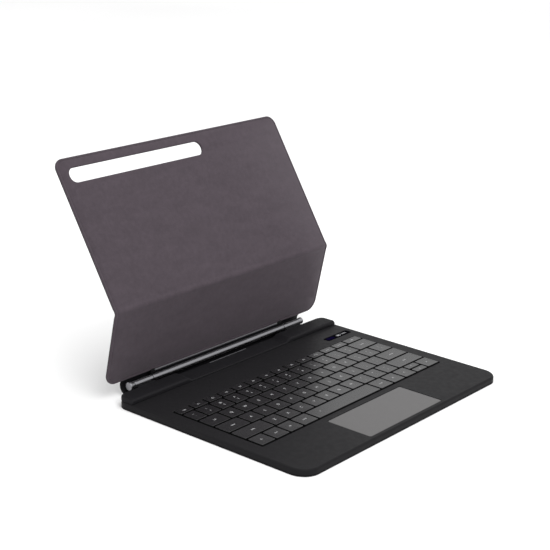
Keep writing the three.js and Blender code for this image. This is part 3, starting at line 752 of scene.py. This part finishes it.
def add_ridge():
    low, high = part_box("ridge_block_left")
    base = low.z
    stations = [RIDGE_END - distance * MM for distance in (0, 0.15, 0.5, 1, 1.7, 2.4, 3.5, 5, 7, 9, 11, 14)]
    stations += [RIDGE_STEP + 30 * MM - 3 * MM * step for step in range(9)]
    stations += [RIDGE_STEP + 4 * MM - 0.75 * MM * step for step in range(14)]
    stations += [RIDGE_STEP * share for share in (0.8, 0.6, 0.4, 0.2)]
    xs = sorted([-x for x in stations] + [0] + stations)
    mesh = loft([ridge_section(x, base, low.y, high.y) for x in xs])
    nodes = ["ridge_block_left", "ridge_block_right", "ridge_ledge"]
    add("rear_ridge", mesh, "leather", "deck", nodes, sharp=50)

    low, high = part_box("ledge_trim")
    mesh = plate(box_outline("ledge_trim", TRIM_RADIUS), edge(low.z, high.z, 0.05 * MM, 0.2 * MM))
    add("ledge_strip", mesh, "aluminium", "deck", ["ledge_trim"])


# ------------------------------------------------------------------ hinge


def turned(profile):
    """A ring-shaped piece turned about the hinge axis: profile is a closed run of (x, radius)."""
    segments = 48
    angles = [2 * math.pi * i / segments for i in range(segments)]
    rings = []
    for x, radius in profile:
        rings.append([(x, HINGE.y + radius * math.cos(a), HINGE.z + radius * math.sin(a)) for a in angles])
    return loft(rings, ring_closed=True)


def add_tube(name, body, node):
    """A bored tube along the hinge, with softened ends, in place of a CAD node."""
    low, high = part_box(node)
    x0, x1, radius = low.x, high.x, BARREL_RADIUS
    soft = 0.35 * MM
    half = soft * 0.3
    start = [(x0, radius - soft), (x0 + half, radius - half), (x0 + soft, radius), (x0 + 2 * soft, radius)]
    end = [(x1 - 2 * soft, radius), (x1 - soft, radius), (x1 - half, radius - half), (x1, radius - soft)]
    mesh = turned([(x0, BORE_RADIUS), *start, *end, (x1, BORE_RADIUS)])
    add(name, mesh, "aluminium", body, [node])


def end_cap(side, radius):
    """A round cap that widens from the knuckle to a radius, with its rim rounded over."""
    low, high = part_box("hinge_cap_right")
    near, far = low.x, high.x
    profile = [
        (near, BORE_RADIUS),
        (near, BARREL_RADIUS - 0.1 * MM),
        (near + 0.2 * MM, BARREL_RADIUS),
        (far - 1.3 * MM, radius - 0.1 * MM),
        (far - 1.1 * MM, radius),
        (far - 0.7 * MM, radius),
        (far - 0.3 * MM, radius - 0.15 * MM),
        (far - 0.05 * MM, radius - 0.55 * MM),
        (far, radius - 0.9 * MM),
        (far, CAP_BLIND),
        (far - CAP_FLOOR, CAP_BLIND),
        (far - CAP_FLOOR, BORE_RADIUS),
    ]
    return turned([(side * x, r) for x, r in profile])


def cover_axes(lean):
    """Up the panel and out of its suede, for a panel that leans back from upright."""
    return Vector((0, math.sin(lean), math.cos(lean))), Vector((0, -math.cos(lean), math.sin(lean)))


def on_lower(x, up, out):
    """A point of the lower panel: up from the hinge axis along it, and out of its suede from that axis."""
    along, normal = cover_axes(LOWER_LEAN)
    return HINGE + Vector((x, 0, 0)) + along * up + normal * out


def stand_up(mesh, place):
    """Moves a mesh made flat, as (x, up, out), to where place puts each point."""
    for vert in mesh.verts:
        vert.co = place(*vert.co)
    bmesh.ops.recalc_face_normals(mesh, faces=mesh.faces)
    return mesh


def add_bar(name, node, shape, high_round, finish):
    """A flat bar across the lower panel, in place of a CAD node."""
    low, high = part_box(node)
    outline = rounded(low.x, high.x, shape["low"], shape["high"], [shape["corner"]] * 4, 5)
    mesh = plate(outline, edge(shape["back"], shape["front"], 0.1 * MM, high_round))
    add(name, stand_up(mesh, on_lower), finish, "lower_cover", [node])


def add_hinge():
    add_tube("hinge_tube", "lower_cover", "hinge_barrel")
    for side, name in ((-1, "left"), (1, "right")):
        add_tube("knuckle_tube_" + name, "deck", "hinge_knuckle_" + name)
        mesh = end_cap(side, CAP_RADII[name])
        add("end_cap_" + name, mesh, "aluminium", "deck", ["hinge_cap_" + name], sharp=50)

    add_bar("clamp_strip", "clamp_bar", CLAMP_BAR, 0.45 * MM, "aluminium")
    for name in ("left", "right"):
        add_bar("strip_clip_" + name, "bar_clip_" + name, BAR_CLIP, 0.4 * MM, "black_plastic")


def add_spine():
    """One leather strip from under the deck's rear edge, round the back of the hinge, to the lower panel."""
    last = SPINE_END - LOWER_LEAN
    first = -math.pi / 2
    steps = 28
    deck_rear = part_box("top_cover")[1].y
    tongue = HINGE.y - deck_rear - FIT

    def section(x, inset):
        inner = SPINE_RADIUS - SPINE_THICK / 2 + inset
        outer = SPINE_RADIUS + SPINE_THICK / 2 - inset
        turns = [first + (last - first) * step / steps for step in range(steps + 1)]
        tip = -tongue + inset
        outside = [(tip, -outer)] + [(outer * math.cos(a), outer * math.sin(a)) for a in turns]
        inside = [(inner * math.cos(a), inner * math.sin(a)) for a in reversed(turns)] + [(tip, -inner)]
        return [(x, HINGE.y + y, HINGE.z + z) for y, z in outside + inside]

    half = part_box("spine_lower")[1].x
    ends = [(0, 0.45 * MM), (0.12 * MM, 0.2 * MM), (0.45 * MM, 0), (1.2 * MM, 0)]
    rings = [section(-half + along, inset) for along, inset in ends]
    rings += [section(half - along, inset) for along, inset in reversed(ends)]
    spine = add("hinge_spine", loft(rings), "leather", None, ["spine_lower", "spine_upper"], sharp=50)
    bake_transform(spine)


# ------------------------------------------------------------------ cover

FOLD_AT = (FOLD - HINGE).dot(cover_axes(LOWER_LEAN)[0])
BOTTOM, TOP = PANEL_START, FOLD_AT + UPPER_LENGTH
BEND_START = FOLD - cover_axes(LOWER_LEAN)[0] * BEND_REACH
BEND_END = FOLD + cover_axes(UPPER_LEAN)[0] * BEND_REACH


def on_cover(x, up, out):
    """A point of the open cover: up from the hinge axis along both panels, and out from the middle of
    their thickness. Near the crease it has turned about the fold by its share of the bend, which grows
    softly from one panel to the other."""
    share = 0.5
    span = BEND_END - BEND_START
    for _ in range(12):
        along, normal = cover_axes(LOWER_LEAN + (UPPER_LEAN - LOWER_LEAN) * share)
        point = FOLD + along * (up - FOLD_AT) + normal * out
        share = smooth((point - BEND_START).dot(span) / span.dot(span), 0, 1)
    return point + Vector((x, 0, 0))


def cover_layer(name, profile, slot_profile, finish, nodes):
    """One layer of the cover, in one piece over both panels, that bends along the crease."""
    radii = [LOWER_RADIUS, LOWER_RADIUS, UPPER_RADIUS, UPPER_RADIUS]
    outline = rounded(-PANEL_HALF, PANEL_HALF, BOTTOM, TOP, radii, 14)
    low, high = FOLD_AT + SLOT["low"], FOLD_AT + SLOT["high"]
    slot = rounded(SLOT["left"], SLOT["right"], low, high, [(high - low) / 2 - SHARP] * 4, 14)
    mesh = plate(outline, profile, [slot], slot_profile)
    near = [FOLD_AT + BEND_REACH * step / 12 for step in range(-15, 16)]
    far = [BOTTOM + (TOP - BOTTOM) * step / 12 for step in range(1, 12)]
    for level in near + far:
        parts = [*mesh.verts, *mesh.edges, *mesh.faces]
        bmesh.ops.bisect_plane(mesh, geom=parts, plane_co=(0, level, 0), plane_no=(0, 1, 0))
    piece = add(name, stand_up(mesh, on_cover), finish, None, nodes)
    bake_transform(piece)
    return piece


def add_cover():
    half = PANEL_THICK / 2
    tray = edge(-half, SEAM_AT, LEATHER_ROUND, 0.1 * MM, 5)[:-1]
    tray += [(PANEL_RIM, SEAM_AT), (PANEL_RIM, PANEL_SKIN - half)]
    cover_layer("cover_leather", tray, tray, "leather", ["lower_outer_skin", "upper_outer_skin"])

    low = SEAM_AT + SEAM_GAP
    pocket = [(PANEL_RIM, half - SUEDE_THICK), (PANEL_RIM, low)]
    wrapped = pocket + edge(low, half, 0.05 * MM, SUEDE_ROUND, 5)[1:]
    groove_depths = (0, GROOVE_DEEP, 0)
    groove = [(GROOVE_AT + GROOVE_HALF * step, half - deep) for step, deep in enumerate(groove_depths)]
    nodes = ["lower_lining", "upper_lining"]
    suede_piece = cover_layer("suede_lining", wrapped + groove, wrapped, "suede", nodes)


# ------------------------------------------------------------------ the whole case

add_camera()
add_studio()
dress_cad_nodes()
add_deck()
add_trackpad()
add_keys()
add_display()
add_ridge()
add_hinge()
add_spine()
add_cover()
